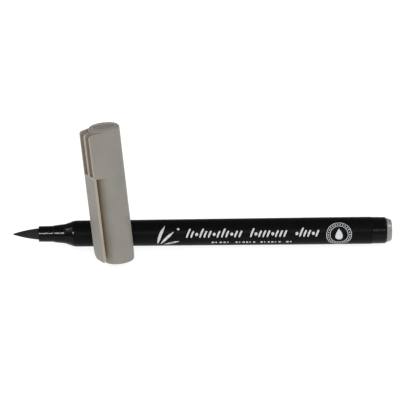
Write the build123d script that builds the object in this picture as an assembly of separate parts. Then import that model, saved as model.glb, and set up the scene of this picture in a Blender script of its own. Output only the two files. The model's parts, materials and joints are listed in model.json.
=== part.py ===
from build123d import *
import os
from math import acos, cos, hypot, radians, sin, sqrt

# A brush-tip colouring marker lying on a table along X, nib towards -X, with its
# cap off: the cap stands on its rim in front of the barrel and leans back on it.
# Millimetres. +Z is up and the table is z = 0. The origin is the centre of the
# whole part's box, on the table.
#
# Each pen piece is turned about the X axis, with x measured from the nib's tip.
# Each cap piece is drawn with z measured up from the cap's mouth along its own
# axis, and with the clip on its +X side.

# ---- driving dimensions: pen --------------------------------------------------
pen_length = 140.05
barrel_r = 5.025            # rear half, where the barrel is a plain cylinder
cap_seat_r = 4.85           # front of the barrel, where the cap slides on
barrel_bore_r = 4.2
fit_gap = 0.02              # radial gap of pieces that are pressed together
running_gap = 0.05
shank_gap = 0.2             # between the brush and its hidden root

nib_length = 9.6            # the part of the brush that shows
nib_r = 2.15                # its radius where it leaves the front section
nib_point_r = 0.12
nib_bulge = 0.26            # how far its side bows out from a straight cone
section_bore_r = 2.3

section_lip_r = 2.84        # the slim tube's mouth, with a small chamfer
section_lip_chamfer = (0.15, 0.08)
slim_tube_end = (14.9, 2.99)
cone_outline = [(15.2, 3.13), (16.0, 3.25), (19.0, 3.59), (19.7, 3.76)]
flare_outline = [(21.1, 4.24), (22.2, 4.69)]
section_rim_drop = 0.07     # the flare's rim, below the barrel's seat
section_spigot_end = 31.0
section_wide_bore_from = 22.0
section_wide_bore_r = 3.3
retainer_end = 28.0
air_channel_width = 0.8
air_channel_depth = 0.5

barrel_start = 22.8
cap_seat_end = 46.0
barrel_full_from = 113.8    # the slight taper ends here
barrel_end = 132.5
barrel_mouth_drop = 0.05    # the seat's first millimetre tapers by this much
turned_edge = 0.12          # chamfer of the barrel's and the tail ring's edges
barrel_rib_width = 0.6
barrel_rib_clearance = 0.1
barrel_ribs = 6

tail_ring_end = 138.1
tail_seam = 0.04            # the lines that show between the tail's pieces
tail_ring_r = (4.965, 4.89)
tail_ring_chamfer = 0.5
tail_ring_face_r = 4.52
tail_plug_seam = 0.03
tail_plug_r = (4.46, 4.0)
tail_plug_straight = 0.3
tail_plug_corner_from = 139.6
tail_plug_face_r = 3.5
tail_plug_wall = 0.8
tail_plug_end_wall = 3.9    # measured in from the pen's end

reservoir_start = 32.0
reservoir_end = 126.0
reservoir_r = 3.45
wrap_thickness = 0.1
wick_r = 1.5
wick_end = 38.0
wick_socket_spare = 0.5
tail_bore_r = 3.6

# ---- driving dimensions: cap --------------------------------------------------
cap_length = 51.0
cap_r = 5.65
cap_bore_r = 4.95
cap_bore_depth = 23.5
cap_upper_bore_r = 4.6
cap_lip_r = 4.4
cap_lip_thickness = 1.8
cap_top_rounding = 0.9
cap_mouth_r = 5.48          # the tube tapers to this at its mouth
cap_taper = 5.0             # height where the taper ends
cap_mouth_rounding = 0.22
cap_lead_in = 0.15
cap_recess_depth = 0.2
disc_flange = 0.45
disc_gap = 0.05             # between the flange, the lip and the liner

clip_face = 8.05            # outer face of the clip, from the cap's axis
clip_half_width = 4.2
clip_crown = 0.08           # how far the middle of the clip's face bulges
clip_thickness = 1.1
clip_foot = 1.5             # height of the leaf's free end
clip_foot_rounding = (3.2, 1.0)     # its two corners
clip_edge_rounding = 0.35
clip_bead_r = 0.8           # the bead on its back that grips a pocket
clip_bead_length = 5.0
clip_bead_rise = 3.5        # above the foot
clip_bead_sink = 0.3
clip_ledge = 33.4           # height where the solid root ends and the leaf starts
clip_root_drop = 1.0        # the root's top, below the cap's top
clip_root_slope = 0.25      # how much further it drops by its outer face
clip_root_corner = 0.45
clip_root_overlap = 1.8     # the sloping top starts this far inside the tube
ledge_gap = 0.04            # the line between the root and the leaf
fin_rounding = 1.3
fin_edge_rounding = 0.2
groove_width = 2.75
groove_floor = 4.0          # inside the tube, so the grooves end on its round wall
middle_fin = 1.5
groove_end_wall = 0.7

liner_mouth = 27.6
liner_bore_r = 3.4
liner_r = 4.0
liner_end_wall = 0.95
liner_rib_width = 0.5
liner_rib_start = 1.5       # above the liner's mouth
liner_ribs = 6
press_in_gap = 0.03         # radial gap of the disc's and the liner's flanges
root_sink = 0.2             # how far ribs are sunk into what they stand on

# ---- how the cap stands -------------------------------------------------------
cap_lean = 77.0             # its axis, above the table
cap_sideways = 5.1          # and tipped towards the nib
cap_across = -30.4          # x of the mouth's centre
cap_to_barrel_gap = 0.1
pen_to_table_gap = 0.09      # the cap's foot is the lowest point
pen_z = barrel_r + pen_to_table_gap
clip_turn = 28.0            # the clip points to the nib's side, turned forward


# ---- turned profiles ----------------------------------------------------------
def turned(outline):
    """Revolve a closed outline, given as lines in x (along) and y (radius)."""
    return revolve(make_face(outline), axis=Axis.X)


def turned_polygon(*points):
    return turned(Polyline(*points, close=True))


def tube(start, end, outer_r, inner_r):
    return turned_polygon((start, inner_r), (end, inner_r), (end, outer_r), (start, outer_r))


def rod(start, end, radius):
    return turned_polygon((start, 0), (end, 0), (end, radius), (start, radius))


# ---- pen pieces ---------------------------------------------------------------
def make_brush_tip():
    """The fibre brush: a bowed cone with a round root that turns in the bore."""
    middle_r = (nib_point_r + nib_r) / 2 + nib_bulge
    side = ThreePointArc((0, nib_point_r), (nib_length / 2, middle_r), (nib_length, nib_r))
    root = RadiusArc((nib_length, nib_r), (nib_length + nib_r, 0), nib_r)
    axis = Polyline((nib_length + nib_r, 0), (0, 0), (0, nib_point_r))
    return turned(side + root + axis)


def make_tip_shank():
    """The brush's hidden root, thick in the section and thin in the reservoir."""
    shank_start = nib_length + nib_r + shank_gap
    shank_end = section_wide_bore_from - 2 * running_gap
    shank_r = section_bore_r - running_gap
    return rod(shank_start, shank_end, shank_r) + rod(shank_end, wick_end, wick_r)


def make_front_section():
    """The stepped black nose: a slim tube, a cone, and a hollow flare."""
    chamfer_length, chamfer_height = section_lip_chamfer
    lip = [(nib_length, section_bore_r), (nib_length, section_lip_r)]
    lip_edge = (nib_length + chamfer_length, section_lip_r + chamfer_height)
    rim = (barrel_start, cap_seat_r - section_rim_drop)
    flare = Spline(cone_outline[-1], *flare_outline, rim)
    spigot_r = barrel_bore_r - fit_gap
    inside = [
        rim,
        (barrel_start, spigot_r),
        (section_spigot_end, spigot_r),
        (section_spigot_end, section_wide_bore_r),
        (section_wide_bore_from, section_wide_bore_r),
        (section_wide_bore_from, section_bore_r),
        (nib_length, section_bore_r),
    ]
    nose = Polyline(*lip, lip_edge, slim_tube_end, *cone_outline)
    return turned(nose + flare + Polyline(*inside))


def make_tip_retainer():
    """The ring that keeps the brush in, with four air channels along its rim."""
    start = section_wide_bore_from + 3 * running_gap
    length = retainer_end - start
    ring = tube(start, retainer_end, section_wide_bore_r - running_gap, wick_r + running_gap)
    channel = Box(length, air_channel_width, 2 * air_channel_depth)
    channel = Pos(start + length / 2, 0, section_wide_bore_r) * channel
    for turn in range(4):
        ring -= Rot(90 * turn, 0, 0) * channel
    return ring


def make_barrel():
    """The long printed tube, very slightly tapered, with ribs round the reservoir."""
    shell = turned_polygon(
        (barrel_start, barrel_bore_r),
        (barrel_start, cap_seat_r - barrel_mouth_drop),
        (barrel_start + 1.0, cap_seat_r),
        (cap_seat_end, cap_seat_r),
        (barrel_full_from, barrel_r),
        (barrel_end - turned_edge, barrel_r),
        (barrel_end, barrel_r - turned_edge),
        (barrel_end, barrel_bore_r),
    )
    rib_inner_r = reservoir_r + wrap_thickness + barrel_rib_clearance
    rib_height = barrel_bore_r - rib_inner_r + root_sink
    rib_start = reservoir_start + 2
    rib_length = reservoir_end - 2 - rib_start
    rib = Box(rib_length, barrel_rib_width, rib_height, align=(Align.MIN, Align.CENTER, Align.MIN))
    for turn in range(barrel_ribs):
        shell += Rot(360 / barrel_ribs * turn, 0, 0) * Pos(rib_start, 0, rib_inner_r) * rib
    return shell


def make_ink_reservoir():
    """The fibre core that holds the ink, with a socket for the brush's thin end."""
    core = rod(reservoir_start, reservoir_end, reservoir_r)
    return core - rod(reservoir_start, wick_end + wick_socket_spare, wick_r + running_gap)


def make_reservoir_wrap():
    inner_r = reservoir_r + fit_gap
    return tube(reservoir_start, reservoir_end, inner_r + wrap_thickness, inner_r)


def make_tail_ring():
    """The glossy black bush that closes the barrel, on a spigot inside it."""
    front_r, back_r = tail_ring_r
    ring_start = barrel_end + tail_seam
    spigot_r = barrel_bore_r - fit_gap
    spigot_start = reservoir_end + 0.5
    return turned_polygon(
        (spigot_start, tail_bore_r),
        (spigot_start, spigot_r),
        (ring_start, spigot_r),
        (ring_start, front_r - turned_edge),
        (ring_start + turned_edge, front_r),
        (tail_ring_end - tail_ring_chamfer, back_r),
        (tail_ring_end, tail_ring_face_r),
        (tail_ring_end, tail_bore_r),
    )


def make_tail_plug():
    """The grey end button, with a hollow stem pressed into the tail ring."""
    head_start = tail_ring_end + tail_plug_seam
    head_r, corner_r = tail_plug_r
    stem_start = reservoir_end + 0.3
    stem_r = tail_bore_r - fit_gap
    hollow_r = stem_r - tail_plug_wall
    hollow_end = pen_length - tail_plug_end_wall
    cone_start = (head_start + tail_plug_straight, head_r)
    cone_end = (tail_plug_corner_from, corner_r)
    face_edge = (pen_length, tail_plug_face_r)
    slope = (cone_end[0] - cone_start[0], cone_end[1] - cone_start[1])
    side = Polyline((head_start, stem_r), (head_start, head_r), cone_start, cone_end)
    corner = TangentArc(cone_end, face_edge, tangent=slope)
    inside = Polyline(
        face_edge,
        (pen_length, 0),
        (hollow_end, 0),
        (hollow_end, hollow_r),
        (stem_start, hollow_r),
        (stem_start, stem_r),
        (head_start, stem_r),
    )
    return turned(side + corner + inside)


# ---- cap pieces ---------------------------------------------------------------
def upright(base, top, radius):
    return Pos(0, 0, base) * Cylinder(radius, top - base, align=(Align.CENTER, Align.CENTER, Align.MIN))


def clip_root_outline():
    """The cap's circle drawn out, along its tangents, to the clip's face."""
    corner = clip_root_corner
    reach = hypot(clip_face - corner, clip_half_width - corner)
    bearing = acos((clip_face - corner) / reach)
    touch = bearing + acos((cap_r - corner) / reach)
    tangent = (cap_r * cos(touch), cap_r * sin(touch))
    side = clip_half_width - corner
    corner_start = (clip_face - corner + corner * cos(touch), side + corner * sin(touch))
    face_edge = (clip_face, clip_half_width - corner)
    half = [(0, 0), tangent, corner_start]
    upper = Polyline(*half) + RadiusArc(corner_start, face_edge, corner)
    face = Line(face_edge, (face_edge[0], -face_edge[1]))
    return make_face(upper + face + mirror(upper, about=Plane.XZ))


def clip_root_side():
    """Side view of the root: a sloping top, rounded into the outer face."""
    root_top = cap_length - clip_root_drop
    face_top = root_top - clip_root_slope
    outline = Polyline(
        (0, clip_ledge),
        (clip_face, clip_ledge),
        (clip_face, face_top),
        (cap_r - clip_root_overlap, root_top),
        (0, root_top),
        close=True,
    )
    side = make_face(Plane.XZ * outline)
    outer_corner = side.vertices().sort_by(lambda v: v.X + v.Z)[-1]
    return fillet(outer_corner, fin_rounding)


def make_clip_root():
    """The three-finned root that carries the clip's leaf."""
    height = cap_length - clip_ledge
    column = Pos(0, 0, clip_ledge) * extrude(clip_root_outline(), height)
    root = column & extrude(clip_root_side(), 2 * cap_r, both=True)
    groove_base = clip_ledge + groove_end_wall
    groove = Box(clip_face, groove_width, height, align=(Align.MIN, Align.CENTER, Align.MIN))
    offset = (middle_fin + groove_width) / 2
    for side in (-1, 1):
        root -= Pos(groove_floor, side * offset, groove_base) * groove
    return fillet(fin_edges(root), fin_edge_rounding)


def fin_edges(root):
    """The edges of the grooves' side walls that the fins show on the outside."""
    walls = [middle_fin / 2, middle_fin / 2 + groove_width]
    edges = []
    for edge in root.edges():
        middle = edge.position_at(0.5)
        on_wall = min(abs(abs(middle.Y) - wall) for wall in walls) < 0.001
        flat = edge.bounding_box().size.Y < 0.001
        outside = middle.X > groove_floor + 0.1 and middle.Z > clip_ledge + groove_end_wall + 0.1
        if on_wall and flat and outside:
            edges.append(edge)
    return edges


def make_cap_shell():
    """The cap's tube, open at both ends, in one piece with the clip's root."""
    body = upright(cap_taper, cap_length, cap_r)
    body = fillet(body.edges().group_by(Axis.Z)[-1], cap_top_rounding)
    body += Pos(0, 0, cap_taper / 2) * Cone(cap_mouth_r, cap_r, cap_taper)
    body = fillet(body.edges().group_by(Axis.Z)[0], cap_mouth_rounding)
    body += make_clip_root()
    lip_base = cap_length - cap_lip_thickness
    body -= upright(0, cap_bore_depth, cap_bore_r)
    body -= upright(0, lip_base, cap_upper_bore_r)
    body -= upright(0, cap_length, cap_lip_r)
    lead_in = Cone(cap_bore_r + cap_lead_in, cap_bore_r, cap_lead_in)
    return body - Pos(0, 0, cap_lead_in / 2) * lead_in


def make_cap_end_disc():
    """The disc in the cap's end, held behind the lip by its flange."""
    flange_top = cap_length - cap_lip_thickness - disc_gap
    flange_base = flange_top - disc_flange
    flange = upright(flange_base, flange_top, cap_upper_bore_r - press_in_gap)
    return flange + upright(flange_base, cap_length - cap_recess_depth, cap_lip_r - fit_gap)


def make_cap_liner():
    """The sealing cup that closes on the front section, centred by six ribs."""
    flange_top = cap_length - cap_lip_thickness - disc_flange - 2 * disc_gap
    flange_r = cap_upper_bore_r - press_in_gap
    end_wall = flange_top - liner_end_wall
    cup = upright(liner_mouth, flange_top, liner_r) + upright(end_wall, flange_top, flange_r)
    rib_foot_r = liner_r - root_sink
    rib_base = liner_mouth + liner_rib_start
    rib_size = (flange_r - rib_foot_r, liner_rib_width, flange_top - rib_base)
    rib = Box(*rib_size, align=(Align.MIN, Align.CENTER, Align.MIN))
    for turn in range(liner_ribs):
        cup += Rot(0, 0, 360 / liner_ribs * turn) * Pos(rib_foot_r, 0, rib_base) * rib
    return cup - upright(liner_mouth, end_wall, liner_bore_r)


def make_clip_leaf():
    """The springy leaf: a crowned strip from the ledge down to the cap's mouth."""
    inner = clip_face - clip_thickness
    half = clip_half_width
    leaf_top = clip_ledge - ledge_gap
    edge_x = clip_face - clip_crown
    face = ThreePointArc((edge_x, -half), (clip_face, 0), (edge_x, half))
    back = Polyline((edge_x, half), (inner, half), (inner, -half), (edge_x, -half))
    section = make_face(face + back)
    section = fillet(section.vertices(), clip_edge_rounding)
    strip = Pos(0, 0, clip_foot) * extrude(section, leaf_top - clip_foot)
    front = Polyline((-half, leaf_top), (-half, clip_foot), (half, clip_foot), (half, leaf_top), close=True)
    front = make_face(Plane.YZ * front)
    for side, rounding in enumerate(clip_foot_rounding):
        corner = front.vertices().group_by(Axis.Z)[0].sort_by(Axis.Y)[-side]
        front = fillet(corner, rounding)
    leaf = strip & extrude(front, 2 * clip_face, both=True)
    bead_place = Pos(inner + clip_bead_sink, 0, clip_foot + clip_bead_rise)
    return leaf + bead_place * Rot(90, 0, 0) * Cylinder(clip_bead_r, clip_bead_length)


# ---- placing ------------------------------------------------------------------
def cap_axis():
    lean = radians(cap_lean)
    sideways = radians(cap_sideways)
    return Vector(-sin(sideways), cos(sideways) * cos(lean), cos(sideways) * sin(lean))


def cap_plane():
    """Mouth centre, clip direction and axis of the cap, for a pen lying along y = 0.

    The mouth's rounded rim touches the table, and the pen lies just clear of it. The
    cap's side is just clear of the barrel, so the two axes' common normal is as long as
    both radii and the gap.
    """
    axis = cap_axis()
    rim_r = cap_mouth_r - cap_mouth_rounding
    mouth_z = rim_r * sqrt(1 - axis.Z ** 2) + cap_mouth_rounding * (1 - axis.Z)
    spacing = cap_r + cap_seat_r + cap_to_barrel_gap
    mouth_y = ((mouth_z - pen_z) * axis.Y - spacing * hypot(axis.Y, axis.Z)) / axis.Z
    to_nib = Vector(-1, 0, 0) - axis * Vector(-1, 0, 0).dot(axis)
    to_nib = to_nib.normalized()
    forward = axis.cross(to_nib)
    turn = radians(clip_turn)
    clip_direction = to_nib * cos(turn) + forward * sin(turn)
    return Plane(origin=(cap_across, mouth_y, mouth_z), x_dir=clip_direction, z_dir=axis)


pen_pieces = {
    "brush_tip": make_brush_tip(),
    "tip_shank": make_tip_shank(),
    "front_section": make_front_section(),
    "tip_retainer": make_tip_retainer(),
    "barrel": make_barrel(),
    "ink_reservoir": make_ink_reservoir(),
    "reservoir_wrap": make_reservoir_wrap(),
    "tail_ring": make_tail_ring(),
    "tail_plug": make_tail_plug(),
}
cap_pieces = {
    "cap_shell": make_cap_shell(),
    "cap_end_disc": make_cap_end_disc(),
    "cap_liner": make_cap_liner(),
    "clip_leaf": make_clip_leaf(),
}

standing_cap = cap_plane()
pen_place = Pos(-pen_length / 2, 0, pen_z)
on_table = {name: pen_place * piece for name, piece in pen_pieces.items()}
on_table.update({name: standing_cap.location * piece for name, piece in cap_pieces.items()})

boxes = [piece.bounding_box() for piece in on_table.values()]
middle_y = (min(box.min.Y for box in boxes) + max(box.max.Y for box in boxes)) / 2
centring = Pos(0, -middle_y, 0)
nodes = {name: centring * piece for name, piece in on_table.items()}

os.makedirs("parts", exist_ok=True)
for name, piece in nodes.items():
    export_step(piece, f"parts/{name}.step")
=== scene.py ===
"""The looks of the brush-tip marker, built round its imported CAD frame.

Lengths are in millimetres up to on_pen, on_cap and in_cap, which turn them into the
frame's metres. On the pen, "along" is measured from the brush's point. On the cap,
"height" is measured from its mouth, and the clip is at turn 0.
"""

import json
from math import cos, pi, radians, sin, sqrt, tau

import bmesh
import bpy
from mathutils import Matrix, Vector, noise


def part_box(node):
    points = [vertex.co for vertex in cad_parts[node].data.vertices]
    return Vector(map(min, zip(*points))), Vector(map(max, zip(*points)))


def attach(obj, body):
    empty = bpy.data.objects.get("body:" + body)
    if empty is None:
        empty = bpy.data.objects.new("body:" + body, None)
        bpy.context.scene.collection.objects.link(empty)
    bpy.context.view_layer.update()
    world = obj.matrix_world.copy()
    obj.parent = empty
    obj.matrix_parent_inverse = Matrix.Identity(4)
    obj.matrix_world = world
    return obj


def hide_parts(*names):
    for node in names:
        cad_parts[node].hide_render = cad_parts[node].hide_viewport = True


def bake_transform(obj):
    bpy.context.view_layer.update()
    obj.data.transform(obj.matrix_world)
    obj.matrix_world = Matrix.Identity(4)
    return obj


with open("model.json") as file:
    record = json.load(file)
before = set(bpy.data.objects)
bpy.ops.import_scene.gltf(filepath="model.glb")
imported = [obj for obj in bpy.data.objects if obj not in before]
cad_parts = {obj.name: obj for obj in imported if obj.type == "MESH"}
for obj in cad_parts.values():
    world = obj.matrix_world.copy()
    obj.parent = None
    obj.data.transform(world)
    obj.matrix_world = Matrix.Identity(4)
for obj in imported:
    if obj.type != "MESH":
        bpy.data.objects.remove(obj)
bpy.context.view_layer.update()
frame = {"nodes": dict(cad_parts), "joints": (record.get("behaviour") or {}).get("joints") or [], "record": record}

MM = 0.001
SEGMENTS = 144                  # round a turned piece
ROUND_STEPS = 5                 # round a corner of an outline

# ---- places taken from the frame ------------------------------------------------
mounts = {mount["name"]: mount for mount in frame["record"]["mounts"]}
joints = {joint["name"]: joint for joint in frame["joints"]}

pen_tip_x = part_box("brush_tip")[0].x
pen_y, pen_z = mounts["barrel_grip"]["pos_m"][1:]

MOUTH_BORE_MIDDLE = 12.0        # height of the cap_mouth mount
CLIP_FACE = 8.05                # how far the clip's face stands out from the cap's axis
FIN_SKIN = 0.3                  # depth that still counts as a fin's outer face
FACING = 0.3                    # cosine above which a face counts as facing a direction
cap_up = Vector(joints["cap_draw"]["axis"])
cap_side = -Vector(joints["clip_flex"]["axis"])
cap_clip = cap_side.cross(cap_up)
cap_mouth = Vector(mounts["cap_mouth"]["pos_m"]) - cap_up * MOUTH_BORE_MIDDLE * MM


def on_pen(along, radius, turn):
    """A point round the pen: turn 0 faces the front, a quarter turn faces up."""
    y = pen_y - radius * cos(turn) * MM
    return Vector((pen_tip_x + along * MM, y, pen_z + radius * sin(turn) * MM))


def on_cap(height, radius, turn):
    """A point round the cap's axis."""
    return in_cap(radius * cos(turn), radius * sin(turn), height)


def in_cap(out, across, height):
    """A point in the cap's own axes: out towards the clip, across, and up."""
    return cap_mouth + (cap_clip * out + cap_side * across + cap_up * height) * MM


# ---- mesh helpers -----------------------------------------------------------------
def finish_piece(name, bm, sharp_angle=35):
    """Make an object of the mesh, smooth except at its sharp edges."""
    bmesh.ops.recalc_face_normals(bm, faces=bm.faces)
    mesh = bpy.data.meshes.new(name)
    bm.to_mesh(mesh)
    bm.free()
    mesh.shade_smooth()
    mesh.set_sharp_from_angle(angle=radians(sharp_angle))
    piece = bpy.data.objects.new(name, mesh)
    bpy.context.scene.collection.objects.link(piece)
    return piece


def join_rings(bm, near, far):
    """Faces between two rings of points, of which either may be a single point."""
    count = max(len(near), len(far))
    if count == 1:
        return
    for k in range(count):
        corners = []
        for ring, index in ((near, k), (near, k + 1), (far, k + 1), (far, k)):
            corner = ring[index % len(ring)]
            if corner not in corners:
                corners.append(corner)
        bm.faces.new(corners)


def loft(name, rings, closed=False, sharp_angle=35):
    """A piece through rings of points. Open lofts are capped at both ends."""
    bm = bmesh.new()
    made = [[bm.verts.new(point) for point in ring] for ring in rings]
    for near, far in zip(made, made[1:]):
        join_rings(bm, near, far)
    if closed:
        join_rings(bm, made[-1], made[0])
    else:
        for end in (made[0], made[-1]):
            if len(end) > 2:
                bm.faces.new(end)
    return finish_piece(name, bm, sharp_angle)


def rounded(corners, closed=True):
    """An outline of (x, y) points from (x, y, rounding) corners."""
    outline = []
    count = len(corners)
    for index, (x, y, rounding) in enumerate(corners):
        at_end = not closed and index in (0, count - 1)
        if rounding == 0 or at_end:
            outline.append((x, y))
            continue
        here = Vector((x, y))
        before = Vector(corners[index - 1][:2]) - here
        after = Vector(corners[(index + 1) % count][:2]) - here
        half = before.angle(after) / 2
        centre = here + (before.normalized() + after.normalized()).normalized() * (rounding / sin(half))
        reach = rounding * cos(half) / sin(half)
        start = here + before.normalized() * reach - centre
        end = here + after.normalized() * reach - centre
        for step in range(ROUND_STEPS + 1):
            share = step / ROUND_STEPS
            spoke = start.lerp(end, share).normalized() * rounding
            outline.append(tuple(centre + spoke))
    return outline


def turn_piece(name, outline, place, closed=True, sharp_angle=35):
    """A turned piece from (along, radius) points, round the pen's or the cap's axis."""
    rings = []
    for along, radius in outline:
        if radius == 0:
            rings.append([place(along, 0, 0)])
        else:
            rings.append([place(along, radius, tau * k / SEGMENTS) for k in range(SEGMENTS)])
    return loft(name, rings, closed, sharp_angle)


# ---- materials --------------------------------------------------------------------
NOISE_LOW, NOISE_HIGH = 0.3, 0.7        # where a noise's two tones start and end
POLISH_SPREAD = 0.12                    # how uneven a plastic's roughness is
MASK_SAMPLES = 8
EDGE_REACH, HOLLOW_REACH = 0.9, 4.0     # how far the painted highlight reaches from an edge, and the painted shade from a wall


def new_material(name):
    """A material with its nodes, its links and its shader."""
    material = bpy.data.materials.new(name)
    material.use_nodes = True
    nodes = material.node_tree.nodes
    return material, nodes, material.node_tree.links, nodes["Principled BSDF"]


def place_texture(nodes, links, scale):
    """Object coordinates stretched by a different number along each axis."""
    coordinates = nodes.new("ShaderNodeTexCoord")
    mapping = nodes.new("ShaderNodeMapping")
    mapping.inputs["Scale"].default_value = scale
    links.new(coordinates.outputs["Object"], mapping.inputs["Vector"])
    return mapping.outputs["Vector"]


def add_noise(nodes, links, scale, detail=3.0):
    """A noise of one scale along each axis, in cells per metre."""
    texture = nodes.new("ShaderNodeTexNoise")
    texture.inputs["Scale"].default_value = 1.0
    texture.inputs["Detail"].default_value = detail
    links.new(place_texture(nodes, links, scale), texture.inputs["Vector"])
    return texture.outputs["Fac"]


def add_ramp(nodes, links, factor, stops):
    """A colour ramp of (position, colour) stops over the factor."""
    ramp = nodes.new("ShaderNodeValToRGB")
    elements = ramp.color_ramp.elements
    while len(elements) < len(stops):
        elements.new(0.5)
    for element, (position, colour) in zip(elements, stops):
        element.position = position
        element.color = (*colour, 1)
    links.new(factor, ramp.inputs["Fac"])
    return ramp.outputs["Color"]


def grey(value):
    """The colour with this value in all its channels."""
    return (value, value, value)


def add_bump(nodes, links, height, distance, strength, before=None):
    """A bump of a height in millimetres, on top of the one before it."""
    bump = nodes.new("ShaderNodeBump")
    bump.inputs["Distance"].default_value = distance * MM
    bump.inputs["Strength"].default_value = strength
    links.new(height, bump.inputs["Height"])
    if before:
        links.new(before, bump.inputs["Normal"])
    return bump.outputs["Normal"]


def even(scale_per_mm):
    """The same texture scale along all three axes, in cells per millimetre."""
    return (scale_per_mm / MM,) * 3


def scaled(colour, factor):
    """A lighter or darker form of the colour."""
    return tuple(channel * factor for channel in colour)


def add_mix(nodes, links, factor, first, second):
    """A colour that goes from the first to the second as the factor rises."""
    mix = nodes.new("ShaderNodeMix")
    mix.data_type = "RGBA"
    links.new(factor, mix.inputs["Factor"])
    for socket, colour in (("A", first), ("B", second)):
        if isinstance(colour, tuple):
            mix.inputs[socket].default_value = (*colour, 1)
        else:
            links.new(colour, mix.inputs[socket])
    return mix.outputs["Result"]


def add_edge_highlight_mask(nodes, links):
    """1 at the piece's edges and 0 on its faces: where a painted highlight goes."""
    bevel = nodes.new("ShaderNodeBevel")
    bevel.samples = MASK_SAMPLES
    bevel.inputs["Radius"].default_value = EDGE_REACH * MM
    geometry = nodes.new("ShaderNodeNewGeometry")
    alike = nodes.new("ShaderNodeVectorMath")
    alike.operation = "DOT_PRODUCT"
    links.new(bevel.outputs["Normal"], alike.inputs[0])
    links.new(geometry.outputs["Normal"], alike.inputs[1])
    return add_ramp(nodes, links, alike.outputs["Value"], [(0.80, grey(1)), (0.99, grey(0))])


def add_hollow_shade_mask(nodes, links):
    """1 deep in grooves and gaps and 0 on open faces: where painted warm shade goes."""
    occlusion = nodes.new("ShaderNodeAmbientOcclusion")
    occlusion.samples = MASK_SAMPLES
    occlusion.inputs["Distance"].default_value = HOLLOW_REACH * MM
    return add_ramp(nodes, links, occlusion.outputs["AO"], [(0.30, grey(1)), (0.68, grey(0))])


def add_above(nodes, links, vector, direction, level):
    """1 where a vector reaches further than the level along a direction, else 0."""
    along = nodes.new("ShaderNodeVectorMath")
    along.operation = "DOT_PRODUCT"
    links.new(vector, along.inputs[0])
    along.inputs[1].default_value = direction
    above = nodes.new("ShaderNodeMath")
    above.operation = "GREATER_THAN"
    links.new(along.outputs["Value"], above.inputs[0])
    above.inputs[1].default_value = level
    return above.outputs["Value"]


def add_fin_highlight_mask(nodes, links):
    """1 on the outer faces of the clip root's fins, where a painted highlight goes, and 0 elsewhere."""
    outwards = (in_cap(1, 0, 0) - in_cap(0, 0, 0)).normalized()
    depth = in_cap(CLIP_FACE - FIN_SKIN, 0, 0).dot(outwards)
    coordinates = nodes.new("ShaderNodeTexCoord")
    outermost = add_above(nodes, links, coordinates.outputs["Object"], outwards, depth)
    facing = add_above(nodes, links, coordinates.outputs["Normal"], outwards, FACING)
    both = nodes.new("ShaderNodeMath")
    both.operation = "MULTIPLY"
    links.new(outermost, both.inputs[0])
    links.new(facing, both.inputs[1])
    return both.outputs["Value"]


def cloud_stops(colour, spread):
    """Ramp stops from a darker to a lighter form of the colour."""
    return [(NOISE_LOW, scaled(colour, 1 - spread)), (NOISE_HIGH, scaled(colour, 1 + spread))]


def moulded_plastic(name, colour, roughness, gloss, grain=1.0, spread=0.06,
                    edge_highlight=None, hollow=None, fins=None):
    """Moulded plastic: faint clouds of colour, uneven polish and a fine grain.

    Edges and the outer faces of the clip root's fins can get a painted highlight, and
    hollows a painted warm shade.
    """
    material, nodes, links, shader = new_material(name)
    clouds = add_noise(nodes, links, even(0.12), 4.0)
    tint = add_ramp(nodes, links, clouds, cloud_stops(colour, spread))
    # painted highlight on the edges
    if edge_highlight:
        tint = add_mix(nodes, links, add_edge_highlight_mask(nodes, links), tint, edge_highlight)
    # painted warm shade deep in grooves and gaps
    if hollow:
        tint = add_mix(nodes, links, add_hollow_shade_mask(nodes, links), tint, hollow)
    # painted highlight on the fins' outer faces
    if fins:
        fin_highlight_tint = add_ramp(nodes, links, clouds, cloud_stops(fins, spread))
        tint = add_mix(nodes, links, add_fin_highlight_mask(nodes, links), tint, fin_highlight_tint)
    links.new(tint, shader.inputs["Base Color"])

    polish = add_noise(nodes, links, even(0.35), 5.0)
    uneven = add_ramp(nodes, links, polish, cloud_stops(grey(roughness), POLISH_SPREAD))
    links.new(uneven, shader.inputs["Roughness"])

    waves = add_bump(nodes, links, add_noise(nodes, links, even(0.5), 1.0), 0.01, 0.25 * grain)
    fine = add_noise(nodes, links, even(9.0), 2.0)
    links.new(add_bump(nodes, links, fine, 0.004, 0.5 * grain, waves), shader.inputs["Normal"])

    shader.inputs["Specular IOR Level"].default_value = gloss
    return material


def fibre(name, dark, light, along_scale, around_scale):
    """Pressed fibres that run along the pen: streaks of tone and a streaked bump."""
    material, nodes, links, shader = new_material(name)
    streaks = add_noise(nodes, links, (along_scale / MM, around_scale / MM, around_scale / MM), 4.0)
    links.new(add_ramp(nodes, links, streaks, [(0.3, dark), (0.72, light)]), shader.inputs["Base Color"])
    links.new(add_bump(nodes, links, streaks, 0.05, 0.6), shader.inputs["Normal"])
    shader.inputs["Roughness"].default_value = 0.78
    shader.inputs["Specular IOR Level"].default_value = 0.3
    shader.inputs["Sheen Weight"].default_value = 0.15
    return material


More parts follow.
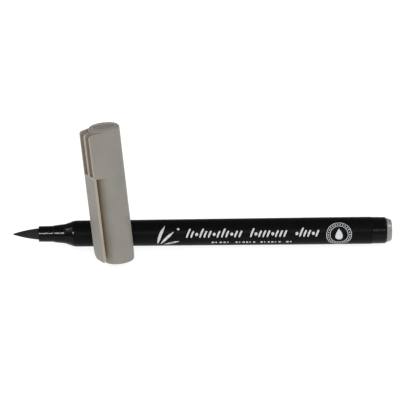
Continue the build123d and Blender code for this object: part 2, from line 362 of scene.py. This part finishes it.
def inked_brush():
    """The brush's fibres: black with ink at the point, browner by the section."""
    material, nodes, links, shader = new_material("inked_brush")
    streaks = add_noise(nodes, links, (0.25 / MM, 5.0 / MM, 5.0 / MM), 5.0)
    inked = [(0.3, (0.004, 0.004, 0.004)), (0.75, (0.016, 0.015, 0.015))]
    stained = [(0.3, (0.007, 0.005, 0.005)), (0.75, (0.026, 0.018, 0.018))]
    black = add_ramp(nodes, links, streaks, inked)
    brown = add_ramp(nodes, links, streaks, stained)

    coordinates = nodes.new("ShaderNodeTexCoord")
    split = nodes.new("ShaderNodeSeparateXYZ")
    links.new(coordinates.outputs["Object"], split.inputs["Vector"])
    reach = nodes.new("ShaderNodeMapRange")
    brown_from, brown_at = 4.0, 8.5
    reach.inputs["From Min"].default_value = pen_tip_x + brown_from * MM
    reach.inputs["From Max"].default_value = pen_tip_x + brown_at * MM
    links.new(split.outputs["X"], reach.inputs["Value"])

    links.new(add_mix(nodes, links, reach.outputs["Result"], black, brown), shader.inputs["Base Color"])

    pores = add_noise(nodes, links, (2.0 / MM, 9.0 / MM, 9.0 / MM), 3.0)
    coarse = add_bump(nodes, links, streaks, 0.05, 0.5)
    links.new(add_bump(nodes, links, pores, 0.02, 0.5, coarse), shader.inputs["Normal"])
    shader.inputs["Roughness"].default_value = 0.6
    shader.inputs["Specular IOR Level"].default_value = 0.2
    return material


def printed_ink():
    """White pad-printed ink, a little thinner here and there."""
    material, nodes, links, shader = new_material("white_print")
    cover = add_noise(nodes, links, even(2.2), 4.0)
    tint = add_ramp(nodes, links, cover, [(0.30, (0.42, 0.43, 0.45)), (0.55, (0.60, 0.61, 0.63))])
    links.new(tint, shader.inputs["Base Color"])
    links.new(add_bump(nodes, links, cover, 0.004, 0.4), shader.inputs["Normal"])
    shader.inputs["Roughness"].default_value = 0.5
    shader.inputs["Specular IOR Level"].default_value = 0.25
    return material


def clear_film():
    """The pale film round the reservoir, with lengthwise wrinkles."""
    material, nodes, links, shader = new_material("wrap_film")
    wrinkles = add_noise(nodes, links, (0.1 / MM, 0.8 / MM, 0.8 / MM), 3.0)
    stops = [(NOISE_LOW, (0.62, 0.63, 0.64)), (NOISE_HIGH, (0.74, 0.75, 0.76))]
    tint = add_ramp(nodes, links, wrinkles, stops)
    links.new(tint, shader.inputs["Base Color"])
    links.new(add_bump(nodes, links, wrinkles, 0.03, 0.4), shader.inputs["Normal"])
    shader.inputs["Roughness"].default_value = 0.22
    return material


def white_floor():
    """A plain white table that glows a little, so that it shows almost no shadow."""
    material, nodes, links, shader = new_material("white_floor")
    mottle = add_noise(nodes, links, even(0.01), 2.0)
    tint = add_ramp(nodes, links, mottle, [(NOISE_LOW, grey(0.29)), (NOISE_HIGH, grey(0.31))])
    links.new(tint, shader.inputs["Base Color"])
    shader.inputs["Roughness"].default_value = 0.9
    shader.inputs["Specular IOR Level"].default_value = 0.1
    shader.inputs["Emission Color"].default_value = (1, 1, 1, 1)
    shader.inputs["Emission Strength"].default_value = 0.86
    return material


BLACK = (0.0020, 0.0020, 0.0021)
WARM_GREY = (0.236, 0.224, 0.199)
# painted highlight: the lighter grey of the cap's edges
EDGE_HIGHLIGHT_GREY = (0.290, 0.262, 0.224)
# painted warm shade in the cap's grooves and in the gap behind the clip leaf
GROOVE_SHADE_BROWN = (0.335, 0.258, 0.180)
# painted highlight: the lighter grey of the leaf's narrow sides and the fins' outer faces
LIT_GREY = (0.330, 0.298, 0.248)
# painted highlight: the lighter grey of the end disc's rim
LIT_RIM_GREY = (0.335, 0.312, 0.270)
# painted shade: the end disc's recess, darker than the cap's grey
SHADED_DISC_GREY = (0.212, 0.206, 0.176)
BUTTON_GREY = (0.225, 0.226, 0.210)
LINER_WHITE = (0.55, 0.55, 0.52)

barrel_black = moulded_plastic("barrel_black", BLACK, 0.40, 0.08, grain=0.5, spread=0.15)
section_black = moulded_plastic("section_black", BLACK, 0.18, 0.13, grain=0.02, spread=0.15)
ring_black = moulded_plastic("ring_black", BLACK, 0.26, 0.13, grain=0.15, spread=0.15)
# the cap's greys carry painted highlights on edges and fins, and painted warm shade in hollows
cap_grey = moulded_plastic("cap_grey", WARM_GREY, 0.48, 0.25, edge_highlight=EDGE_HIGHLIGHT_GREY, hollow=GROOVE_SHADE_BROWN)
shell_grey = moulded_plastic("shell_grey", WARM_GREY, 0.48, 0.25, edge_highlight=EDGE_HIGHLIGHT_GREY,
                             hollow=GROOVE_SHADE_BROWN, fins=LIT_GREY)
lit_side_grey = moulded_plastic("lit_side_grey", LIT_GREY, 0.48, 0.25)
lit_rim_grey = moulded_plastic("lit_rim_grey", LIT_RIM_GREY, 0.48, 0.25)
shaded_disc_grey = moulded_plastic("shaded_disc_grey", SHADED_DISC_GREY, 0.5, 0.2)
plug_grey = moulded_plastic("plug_grey", BUTTON_GREY, 0.30, 0.34)
liner_white = moulded_plastic("liner_white", LINER_WHITE, 0.42, 0.4)
brush_fibre = inked_brush()
shank_fibre = fibre("shank_fibre", (0.02, 0.016, 0.016), (0.07, 0.06, 0.06), 0.2, 4.0)
reservoir_fibre = fibre("reservoir_fibre", (0.03, 0.03, 0.035), (0.12, 0.12, 0.13), 0.15, 3.0)
wrap_film = clear_film()
print_white = printed_ink()


def wear(piece, material):
    """Give a piece its material."""
    piece.data.materials.clear()
    piece.data.materials.append(material)
    return piece


# ---- the pen's turned pieces --------------------------------------------------------
BARREL_START, BARREL_END = 22.8, 132.5
CAP_SEAT_END, FULL_FROM = 46.0, 113.8       # the taper runs from one to the other
SEAT_R, BARREL_R, BORE_R = 4.85, 5.0245, 4.2


def barrel_radius(along):
    """The barrel's outer radius: straight, slightly tapered, and straight again."""
    share = (along - CAP_SEAT_END) / (FULL_FROM - CAP_SEAT_END)
    return SEAT_R + (BARREL_R - SEAT_R) * min(max(share, 0), 1)


def make_barrel():
    """The black tube, open at both ends."""
    outline = rounded([
        (BARREL_START, BORE_R, 0),
        (BARREL_START, SEAT_R - 0.05, 0.06),
        (BARREL_START + 1.0, SEAT_R, 0),
        (CAP_SEAT_END, SEAT_R, 0),
        (FULL_FROM, BARREL_R, 0),
        (BARREL_END, BARREL_R, 0.12),
        (BARREL_END, BORE_R, 0),
    ])
    piece = turn_piece("barrel_tube", outline, on_pen)
    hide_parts("barrel")
    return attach(wear(piece, barrel_black), "pen")


def make_section():
    """The nose: a slim tube with a fine step, a cone, and the hollow flare."""
    outside = [
        (9.6, 2.34, 0.04),
        (9.6, 2.90, 0.09),
        (13.15, 2.96, 0),
        (13.25, 2.93, 0),
        (13.45, 2.93, 0),
        (13.55, 2.97, 0),
        (14.9, 2.98, 0.3),
        (15.2, 3.12, 0.1),
        (16.0, 3.24, 0.8),
        (19.05, 3.59, 0.2),
        (19.7, 3.75, 0.3),
        (20.4, 4.00, 1.0),
        (21.1, 4.23, 2.0),
        (21.7, 4.48, 2.0),
        (22.2, 4.68, 0.6),
        (22.76, 4.775, 0.05),
    ]
    inside = [
        (22.76, 4.18, 0),
        (31.0, 4.18, 0),
        (31.0, 3.3, 0),
        (22.0, 3.3, 0),
        (22.0, 2.3, 0),
        (9.7, 2.3, 0),
    ]
    piece = turn_piece("front_nose", rounded(outside + inside), on_pen, sharp_angle=16)
    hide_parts("front_section")
    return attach(wear(piece, section_black), "pen")


def make_tail_ring():
    """The glossier bush that closes the barrel, with a neck inside it."""
    outline = rounded([
        (126.5, 3.6, 0),
        (126.5, 4.18, 0.1),
        (132.55, 4.18, 0),
        (132.55, 4.965, 0.12),
        (137.6, 4.89, 0.2),
        (138.1, 4.52, 0.08),
        (138.1, 3.6, 0),
    ])
    piece = turn_piece("tail_bush", outline, on_pen)
    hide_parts("tail_ring")
    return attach(wear(piece, ring_black), "pen")


def make_tail_plug():
    """The end button, with its parting step and the gate's small dimple."""
    outline = rounded([
        (136.5, 0, 0),
        (136.5, 2.78, 0.2),
        (126.3, 2.78, 0),
        (126.3, 3.58, 0.15),
        (138.13, 3.58, 0),
        (138.13, 4.46, 0.05),
        (138.43, 4.46, 0.1),
        (140.03, 3.88, 0.5),
        (139.95, 0.95, 0.3),
        (139.80, 0.80, 0.1),
        (139.80, 0.30, 0.05),
        (139.86, 0, 0),
    ], closed=False)
    piece = turn_piece("tail_button", outline, on_pen, closed=False)
    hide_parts("tail_plug")
    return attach(wear(piece, plug_grey), "pen")


# ---- the brush ----------------------------------------------------------------------
def make_brush():
    """The pressed fibre point, with fine ridges that gather towards its tip."""
    point_r, root_r, length, bulge = 0.17, 2.13, 9.6, 0.26
    root_end, ridges, rings = 11.9, 34, 90
    first_ring, bunching, point_length = 0.03, 1.25, 0.12
    ridge_depth, least_ridge, fuzz_depth = 0.016, 0.004, 0.012
    made = [[on_pen(0.0, 0, 0)]]
    for index in range(rings + 1):
        along = first_ring + (root_end - first_ring) * (index / rings) ** bunching
        share = min(along / length, 1)
        radius = point_r + (root_r - point_r) * share + 4 * bulge * share * (1 - share)
        radius *= min(1, sqrt(along / point_length))
        depth = ridge_depth * share + least_ridge
        ring = []
        for k in range(SEGMENTS):
            turn = tau * k / SEGMENTS
            sway = noise.noise(Vector((along * 0.35, cos(turn) * 1.5, sin(turn) * 1.5)))
            ridge = cos(turn * ridges + sway * 5.0)
            fuzz = noise.noise(Vector((along * 1.2, cos(turn) * 9, sin(turn) * 9)))
            inset = depth * (1 + ridge) + fuzz_depth * share * abs(fuzz)
            ring.append(on_pen(along, radius - inset, turn))
        made.append(ring)
    piece = loft("brush_fibres", made, sharp_angle=180)
    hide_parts("brush_tip")
    wear(piece, brush_fibre)
    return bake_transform(piece)


# ---- the print ----------------------------------------------------------------------
PRINT_BASE = radians(7.5)       # turn of the main line's foot
INK_RISE, INK_SINK = 0.012, 0.03
TAPERS = 3                      # a stroke's end tapers over one part in this many
BLUNTEST = 0.12                 # the narrowest end of a stroke, of its half width
STROKE_LEAN = 0.42              # run over rise of the practice strokes


def on_print(along, up, rise):
    """A point of the print: up is the arc above the main line's foot."""
    radius = barrel_radius(along)
    return on_pen(along, radius + rise, PRINT_BASE + up / radius)


class Print:
    """Flat shapes, collected and then laid round the barrel as one thin piece."""

    def __init__(self):
        self.bm = bmesh.new()

    def strip(self, lefts, rights, closed=False):
        """A band between two rows of (along, up) points."""
        count = len(lefts)
        layers = []
        for rise in (INK_RISE, -INK_SINK):
            rows = []
            for row in (lefts, rights):
                rows.append([self.bm.verts.new(on_print(x, y, rise)) for x, y in row])
            layers.append(rows)
        (top_l, top_r), (low_l, low_r) = layers
        last = count if closed else count - 1
        for k in range(last):
            n = (k + 1) % count
            self.bm.faces.new((top_l[k], top_l[n], top_r[n], top_r[k]))
            self.bm.faces.new((low_l[k], low_r[k], low_r[n], low_l[n]))
            self.bm.faces.new((top_l[k], low_l[k], low_l[n], top_l[n]))
            self.bm.faces.new((top_r[k], top_r[n], low_r[n], low_r[k]))
        if not closed:
            self.bm.faces.new((top_l[0], top_r[0], low_r[0], low_l[0]))
            self.bm.faces.new((top_l[-1], low_l[-1], low_r[-1], top_r[-1]))

    def stroke(self, points, width, taper_start=1.0, taper_end=1.0, steps=14):
        """A brush stroke along a smooth line through the points, with round ends."""
        line = smooth_line(points, steps)
        count = len(line)
        run = [0.0]
        for a, b in zip(line, line[1:]):
            run.append(run[-1] + (b - a).length)
        total = run[-1]
        lefts, rights = [], []
        for k, here in enumerate(line):
            ahead = line[min(k + 1, count - 1)] - line[max(k - 1, 0)]
            across = Vector((-ahead.y, ahead.x)).normalized()
            share = run[k] / total
            swell = taper_start + (1 - taper_start) * min(share * TAPERS, 1)
            swell *= taper_end + (1 - taper_end) * min((1 - share) * TAPERS, 1)
            half = width / 2 * swell
            for distance in (run[k], total - run[k]):
                if distance < half:
                    round_end = half ** 2 - (half - distance) ** 2
                    half = sqrt(max(round_end, (BLUNTEST * half) ** 2))
            lefts.append(tuple(here + across * half))
            rights.append(tuple(here - across * half))
        self.strip(lefts, rights)

    def ring(self, along, up, outer, inner, steps=96):
        """A flat ring between two radii."""
        circle = [(cos(tau * k / steps), sin(tau * k / steps)) for k in range(steps)]
        lefts = [(along + x * outer, up + y * outer) for x, y in circle]
        rights = [(along + x * inner, up + y * inner) for x, y in circle]
        self.strip(lefts, rights, closed=True)

    def piece(self, name):
        """The object that holds all the shapes laid so far."""
        return finish_piece(name, self.bm, sharp_angle=30)


def smooth_line(points, steps):
    """Points on a Catmull-Rom line through the given ones."""
    points = [Vector(point) for point in points]
    padded = [points[0] * 2 - points[1], *points, points[-1] * 2 - points[-2]]
    line = []
    for a, b, c, d in zip(padded, padded[1:], padded[2:], padded[3:]):
        for step in range(steps):
            t = step / steps
            first = (c - a) * t
            second = (2 * a - 5 * b + 4 * c - d) * t ** 2
            third = (3 * b - a - 3 * c + d) * t ** 3
            line.append(0.5 * (2 * b + first + second + third))
    line.append(points[-1])
    return line


def print_words(ink):
    """Three blocks of slanted practice strokes, some taller and some only dabs."""
    blocks = ((64.2, 85.0), (87.7, 101.5), (104.3, 113.3))
    tall, low, pitch = 3.45, 2.55, 1.62
    width, bow, dab_width, dab_half = 0.66, 0.10, 1.05, 0.62
    count = 0
    for start, end in blocks:
        strokes = round((end - start) / pitch)
        step = (end - start - STROKE_LEAN * tall) / (strokes - 1)
        for index in range(strokes):
            along = start + step * index
            height = tall if index == 0 or count % 5 == 3 else low
            if count % 4 == 2:
                ends = [leaned(along, low / 2 + shift) for shift in (-dab_half, dab_half)]
                ink.stroke(ends, dab_width, 0.25, 0.25)
            else:
                middle = leaned(along - bow, height / 2)
                ink.stroke([leaned(along, 0), middle, leaned(along, height)], width, 0.7, 0.9)
            count += 1


def leaned(along, up):
    """A point of a practice stroke that stands at this place and leans forward."""
    x = along + STROKE_LEAN * up
    return (x, up)


def print_small_line(ink):
    """A small dashed line under the main one."""
    groups = ((73.4, 80.6), (82.2, 90.0), (91.4, 99.4), (100.8, 103.8))
    middle, pitch, gap, width = -2.25, 1.32, 0.42, 0.72
    short = 0.55                # every third dash, of the others' length
    for start, end in groups:
        dashes = round((end - start) / pitch)
        step = (end - start) / dashes
        for index in range(dashes):
            along = start + step * index
            length = (step - gap) * (short if index % 3 == 1 else 1.0)
            ink.stroke([(along, middle), (along + length, middle)], width, steps=9)


def print_flourish(ink):
    """Three brush dabs that fan out, and a dot, before the main line."""
    ink.stroke([(53.5, -2.7), (54.5, 1.0), (56.3, 4.6)], 1.05, 0.2, 0.12)
    ink.stroke([(54.6, -2.8), (56.7, -0.2), (59.6, 2.4)], 0.95, 0.2, 0.12)
    ink.stroke([(55.9, -3.1), (58.5, -2.3), (61.6, -1.4)], 0.80, 0.2, 0.12)
    ink.stroke([(60.9, 3.0), (61.5, 3.6)], 0.95, 0.7, 0.7)


def print_emblem(ink):
    """A round emblem: a drop of ink inside two rings and a band of short marks."""
    along, up = 120.35, 0.62
    line, outer, inner = 0.2, 4.68, 3.42
    marks, near, far, mark_width = 26, 3.74, 4.22, 0.46
    for radius in (outer, inner):
        ink.ring(along, up, radius, radius - line)
    for index in range(marks):
        turn = tau * index / marks
        ends = [(along + reach * cos(turn), up + reach * sin(turn)) for reach in (near, far)]
        ink.stroke(ends, mark_width, steps=5)
    print_drop(ink, along, up)


def print_drop(ink, along, up):
    """A drop with its point upwards, round the given middle."""
    foot, height, half_width, steps = -1.95, 4.3, 1.35, 36
    end_gap = 0.002             # keeps the two ends from closing to a point
    widest = 0.370              # the profile below at its widest
    lefts, rights = [], []
    for index in range(steps + 1):
        share = min(max(index / steps, end_gap), 1 - end_gap)
        half = half_width * sqrt(share) * (1 - share) ** 1.1 / widest
        lefts.append((along - half, up + foot + height * share))
        rights.append((along + half, up + foot + height * share))
    ink.strip(lefts, rights)


def make_print():
    """All the white print, as one thin piece on the barrel."""
    ink = Print()
    print_flourish(ink)
    print_words(ink)
    print_small_line(ink)
    print_emblem(ink)
    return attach(wear(ink.piece("barrel_print"), print_white), "pen")


# ---- the cap's pieces -----------------------------------------------------------------
CLIP_HALF, CLIP_THICKNESS = 4.2, 1.1
CLIP_CROWN, CLIP_FOOT, LEDGE = 0.08, 1.5, 33.4      # the leaf leaves its root at the ledge
FAR_ROUNDING, NEAR_ROUNDING = 3.2, 1.0      # the foot's corners
LEAF_EDGE = 0.35                            # rounding of its long edges
LEAF_CROWN_STEPS = 12
BEAD_R, BEAD_SINK, BEAD_REACH = 0.8, 0.3, 0.74
BEAD_RISE = 3.5                             # of the bead above the leaf's foot
BEAD_HALF, BEAD_FADE = 2.7, 0.3             # half its width, and its soft ends
BACK_SKIN = 0.3                             # depth that still counts as the leaf's back


def leaf_face(across):
    """How far out the leaf's crowned face lies."""
    return CLIP_FACE - CLIP_CROWN * (across / CLIP_HALF) ** 2


def leaf_section(low, high, thickness_share):
    """One section of the leaf: a crowned strip with round edges."""
    back = CLIP_FACE - CLIP_THICKNESS
    middle = CLIP_FACE - CLIP_THICKNESS / 2
    corners = [(back, low, LEAF_EDGE), (back, high, LEAF_EDGE), (leaf_face(high), high, LEAF_EDGE)]
    for step in range(1, LEAF_CROWN_STEPS):
        across = high + (low - high) * step / LEAF_CROWN_STEPS
        corners.append((leaf_face(across), across, 0))
    corners.append((leaf_face(low), low, LEAF_EDGE))
    return [(middle + (out - middle) * thickness_share, across) for out, across in rounded(corners)]


def foot_inset(rise, rounding):
    """How far one side of the leaf has drawn in, at this rise above its foot."""
    left = max(rounding - rise, 0)
    return rounding - sqrt(rounding ** 2 - left ** 2)


def paint_side_highlights(leaf):
    """Painted highlight: the leaf's two narrow sides, in a slightly lighter grey."""
    leaf.data.materials.append(lit_side_grey)
    across = (in_cap(0, 1, 0) - in_cap(0, 0, 0)).normalized()
    for face in leaf.data.polygons:
        if abs(face.normal.dot(across)) > FACING:
            face.material_index = 1


def leaf_heights():
    """Heights of the leaf's sections: close together at its round foot, then even."""
    foot_steps, rise_steps = 22, 60
    top = LEDGE - 0.02
    straight_from = CLIP_FOOT + FAR_ROUNDING
    foot_turns = [pi / 2 * step / foot_steps for step in range(foot_steps)]
    heights = [straight_from - FAR_ROUNDING * cos(turn) for turn in foot_turns]
    rise = top - straight_from
    return heights + [straight_from + rise * step / rise_steps for step in range(rise_steps + 1)]


def make_leaf():
    """The clip's springy leaf, from its foot up to the ledge."""
    foot_share, full_rise = 0.72, 0.35
    made = []
    for height in leaf_heights():
        rise = height - CLIP_FOOT
        low = foot_inset(rise, FAR_ROUNDING) - CLIP_HALF
        high = CLIP_HALF - foot_inset(rise, NEAR_ROUNDING)
        share = foot_share + (1 - foot_share) * sin(pi / 2 * min(1, rise / full_rise))
        section = leaf_section(low, high, share)
        made.append([in_cap(out + bead(out, across, height), across, height) for out, across in section])
    piece = loft("clip_spring_leaf", made, sharp_angle=40)
    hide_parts("clip_leaf")
    wear(piece, cap_grey)
    paint_side_highlights(piece)
    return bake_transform(piece)


def bead(out, across, height):
    """How far the back of the leaf is pushed inwards by its gripping bead."""
    back = CLIP_FACE - CLIP_THICKNESS
    offset = height - (CLIP_FOOT + BEAD_RISE)
    if out > back + BACK_SKIN or abs(offset) >= BEAD_REACH:
        return 0.0
    fade = min(max((BEAD_HALF - abs(across)) / BEAD_FADE, 0), 1)
    return -fade * (sqrt(BEAD_R ** 2 - offset ** 2) - BEAD_SINK)


DISC_RIM_R = 3.87               # outside this the disc has a painted highlight: a lighter grey


def make_end_disc():
    """The disc set into the cap's end: a raised rim, a groove, a fine ring, a dimple."""
    outline = rounded([
        (48.70, 0, 0),
        (48.70, 4.55, 0.05),
        (49.13, 4.55, 0.05),
        (49.13, 4.37, 0),
        (50.95, 4.37, 0.04),
        (50.97, 3.92, 0.15),
        (50.30, 3.85, 0.05),
        (50.30, 3.60, 0.05),
        (50.62, 3.52, 0.10),
        (50.62, 2.42, 0.05),
        (50.55, 2.34, 0.05),
        (50.55, 2.16, 0.05),
        (50.62, 2.08, 0.05),
        (50.60, 0.62, 0.05),
        (50.50, 0.50, 0.05),
        (50.50, 0, 0),
    ], closed=False)
    piece = turn_piece("cap_top_disc", outline, on_cap, closed=False)
    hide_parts("cap_end_disc")
    wear(piece, shaded_disc_grey)
    paint_rim_highlight(piece)
    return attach(piece, "cap")


def paint_rim_highlight(disc):
    """Painted highlight: the end disc's rim, in a slightly lighter grey."""
    disc.data.materials.append(lit_rim_grey)
    middle = in_cap(0, 0, 0)
    axis = (in_cap(0, 0, 1) - middle).normalized()
    for face in disc.data.polygons:
        reach = face.center - middle
        if (reach - axis * reach.dot(axis)).length > DISC_RIM_R * MM:
            face.material_index = 1


def dress_cad_nodes():
    """Materials for the CAD nodes that stay."""
    looks = {
        "cap_shell": shell_grey,
        "cap_liner": liner_white,
        "tip_retainer": liner_white,
        "tip_shank": shank_fibre,
        "ink_reservoir": reservoir_fibre,
        "reservoir_wrap": wrap_film,
    }
    for name, material in looks.items():
        node = frame["nodes"][name]
        node.data.materials.clear()
        node.data.materials.append(material)


# ---- floor, light and camera ----------------------------------------------------------
FLOOR_HALF = 3.0                # in metres, like everything on the stage
FLOOR_SINK = 0.0001
LIGHT_TARGET = Vector((0, pen_y, pen_z))


def make_floor():
    """The table that the marker lies on."""
    bm = bmesh.new()
    bmesh.ops.create_grid(bm, x_segments=8, y_segments=8, size=FLOOR_HALF)
    floor = finish_piece("studio_floor", bm)
    floor.location.z = -FLOOR_SINK
    wear(floor, white_floor())


def add_light(name, size, energy, azimuth, elevation, distance):
    """A soft box that looks at the marker. Azimuth 0 is the front, 90 the right."""
    data = bpy.data.lights.new(name, "AREA")
    data.shape = "RECTANGLE"
    data.size, data.size_y = size
    data.energy = energy
    light = bpy.data.objects.new(name, data)
    bpy.context.scene.collection.objects.link(light)
    around, above = radians(azimuth), radians(elevation)
    direction = Vector((sin(around) * cos(above), -cos(around) * cos(above), sin(above)))
    light.location = LIGHT_TARGET + direction * distance
    light.rotation_euler = direction.to_track_quat("Z", "Y").to_euler()
    return light


def make_lights(nose):
    """A long strip in front, a soft box on each side, and three lights only for gloss.

    The nose strip reaches nothing but the nose.
    """
    nose_only = bpy.data.collections.new("nose_only")
    nose_only.objects.link(nose)
    add_light("key_strip", (1.7, 0.06), 6.0, 0, 32, 1.3)
    add_light("left_softbox", (0.9, 0.9), 3.5, -75, 40, 1.6)
    add_light("right_softbox", (0.9, 0.9), 3.5, 70, 40, 1.6)
    nose_strip = add_light("nose_strip", (0.50, 0.026), 16.5, -18.5, 38.2, 1.3)
    nose_strip.light_linking.receiver_collection = nose_only
    left_accent = add_light("left_accent", (0.12, 0.12), 0.8, -87, 50, 1.0)
    right_accent = add_light("right_accent", (0.12, 0.12), 2.4, 87, 46, 1.0)
    for gloss_light in (nose_strip, left_accent, right_accent):
        gloss_light.visible_diffuse = False


def add_background(nodes, strength):
    """A warm white background of this strength."""
    background = nodes.new("ShaderNodeBackground")
    background.inputs["Color"].default_value = (1, 0.995, 0.98, 1)
    background.inputs["Strength"].default_value = strength
    return background.outputs["Background"]


def make_world():
    """A soft studio: dark where gloss reflects it, pale where the camera sees it."""
    world = bpy.data.worlds.new("studio")
    world.use_nodes = True
    nodes, links = world.node_tree.nodes, world.node_tree.links
    path = nodes.new("ShaderNodeLightPath")
    shown = nodes["Background"].outputs["Background"]
    nodes["Background"].inputs["Strength"].default_value = 0
    strengths = (("Is Glossy Ray", 0.26), ("Is Diffuse Ray", 0.60), ("Is Camera Ray", 0.95))
    for ray, strength in strengths:
        mix = nodes.new("ShaderNodeMixShader")
        links.new(path.outputs[ray], mix.inputs["Fac"])
        links.new(shown, mix.inputs[1])
        links.new(add_background(nodes, strength), mix.inputs[2])
        shown = mix.outputs["Shader"]
    links.new(shown, nodes["World Output"].inputs["Surface"])
    bpy.context.scene.world = world
    bpy.context.scene.view_settings.view_transform = "Standard"


CAMERA_TARGET = Vector((pen_tip_x + 0.06933, pen_y, 0.01908))
CAMERA_ELEVATION = radians(31.5)
CAMERA_ROLL = radians(0.64)     # the pen's tail stands slightly higher in the view
CAMERA_DISTANCE = 0.7
CAMERA_LENS, CAMERA_SENSOR = 171.9, 36
CAMERA_NEAR = 0.01


def make_camera():
    """The camera: in front of the marker, above it, and slightly rolled."""
    data = bpy.data.cameras.new("camera")
    data.lens = CAMERA_LENS
    data.sensor_width = CAMERA_SENSOR
    data.clip_start = CAMERA_NEAR
    camera = bpy.data.objects.new("camera", data)
    bpy.context.scene.collection.objects.link(camera)
    back = Vector((0, -cos(CAMERA_ELEVATION), sin(CAMERA_ELEVATION)))
    camera.location = CAMERA_TARGET + back * CAMERA_DISTANCE
    level_up = back.cross(Vector((1, 0, 0)))
    right = Vector((1, 0, 0)) * cos(CAMERA_ROLL) - level_up * sin(CAMERA_ROLL)
    up = back.cross(right)
    camera.rotation_euler = Matrix((right, up, back)).transposed().to_euler()
    bpy.context.scene.camera = camera


make_camera()
make_world()
make_floor()
dress_cad_nodes()
make_barrel()
make_lights(make_section())
make_tail_ring()
make_tail_plug()
make_brush()
make_print()
make_leaf()
make_end_disc()
